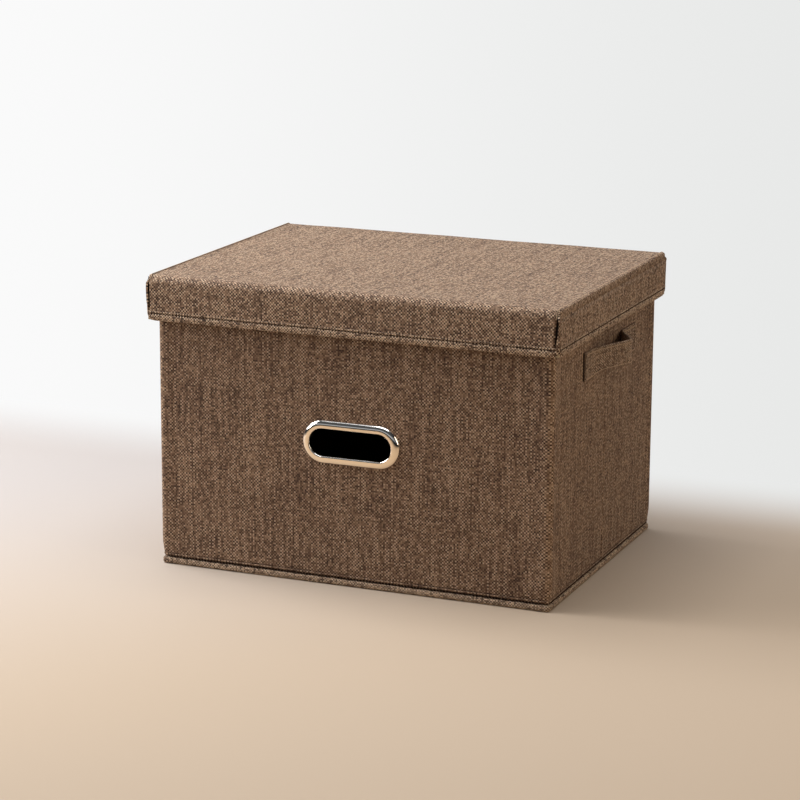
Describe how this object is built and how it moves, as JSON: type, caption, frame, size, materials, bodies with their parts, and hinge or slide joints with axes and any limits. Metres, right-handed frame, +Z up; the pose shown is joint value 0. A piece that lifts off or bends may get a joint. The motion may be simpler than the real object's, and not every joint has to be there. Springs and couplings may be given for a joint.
{
  "type": "collapsible storage box",
  "caption": "Collapsible cloth-covered storage box with a lift-off lid, a metal-ringed hand hole in its front and cloth strap handles on its sides.",
  "frame": {"origin": "on the floor under the middle of the box", "axes": "+X to the right along the front, +Y from the front to the back, +Z up"},
  "size_m": [0.422, 0.3084, 0.2734],
  "materials": {
    "cloth": "brown heather linen-look weave",
    "strap": "brown heather weave, folded and top-stitched",
    "tape": "brown heather binding tape, stitched",
    "lining": "thin plain lining cloth",
    "board": "pressed grey-brown fibre board",
    "chrome": "polished chrome plate"
  },
  "bodies": {
    "back_and_base": {"back_board": "board", "back_cover": "cloth", "back_lining": "lining", "back_rim_hem": "cloth", "base_binding": "tape", "base_cloth": "cloth", "base_board": "board", "base_board_cover": "cloth", "base_board_backing": "lining"},
    "right_rear": {"right_rear_board": "board", "right_rear_cover": "cloth", "right_rear_lining": "lining", "right_rear_rim_hem": "cloth", "strap_right": "strap"},
    "right_front": {"right_front_board": "board", "right_front_cover": "cloth", "right_front_lining": "lining", "right_front_rim_hem": "cloth"},
    "front_wall": {"front_board": "board", "front_cover": "cloth", "front_lining": "lining", "front_rim_hem": "cloth", "hand_hole_ring": "chrome", "hand_hole_clamp_ring": "chrome"},
    "left_rear": {"left_rear_board": "board", "left_rear_cover": "cloth", "left_rear_lining": "lining", "left_rear_rim_hem": "cloth", "strap_left": "strap"},
    "left_front": {"left_front_board": "board", "left_front_cover": "cloth", "left_front_lining": "lining", "left_front_rim_hem": "cloth"},
    "lid": {"lid_top_board": "board", "lid_front_board": "board", "lid_back_board": "board", "lid_right_board": "board", "lid_left_board": "board", "lid_cover": "cloth", "lid_right_cover": "cloth", "lid_left_cover": "cloth", "lid_lining": "lining", "lid_hem": "tape"}
  },
  "joints": [
    {"name": "fold", "type": "hinge", "parent": "back_and_base", "child": "right_rear", "pos_m": [0.1859, 0.1409, 0], "axis": [0, 0, 1], "range_deg": [-84, 0], "deforming": ["strap_right", "strap_left", "base_binding", "base_cloth"]},
    {"name": "right_crease", "type": "hinge", "parent": "right_rear", "child": "right_front", "pos_m": [0.19, 0, 0], "axis": [0, 0, 1], "range_deg": [0, 168]},
    {"name": "right_front_corner", "type": "hinge", "parent": "right_front", "child": "front_wall", "pos_m": [0.1859, -0.1409, 0], "axis": [0, 0, 1], "range_deg": [-84, 0]},
    {"name": "left_rear_corner", "type": "hinge", "parent": "back_and_base", "child": "left_rear", "pos_m": [-0.1859, 0.1409, 0], "axis": [0, 0, 1], "range_deg": [0, 84]},
    {"name": "left_crease", "type": "hinge", "parent": "left_rear", "child": "left_front", "pos_m": [-0.19, 0, 0], "axis": [0, 0, 1], "range_deg": [-168, 0]},
    {"name": "lid_lift", "type": "slide", "parent": "back_and_base", "child": "lid", "axis": [0, 0, 1], "range_m": [0, 0.15]}
  ],
  "couplings": [
    {"joint": "right_crease", "follows": "fold", "ratio": -2},
    {"joint": "right_front_corner", "follows": "fold", "ratio": 1},
    {"joint": "left_rear_corner", "follows": "fold", "ratio": -1},
    {"joint": "left_crease", "follows": "fold", "ratio": 2}
  ]
}
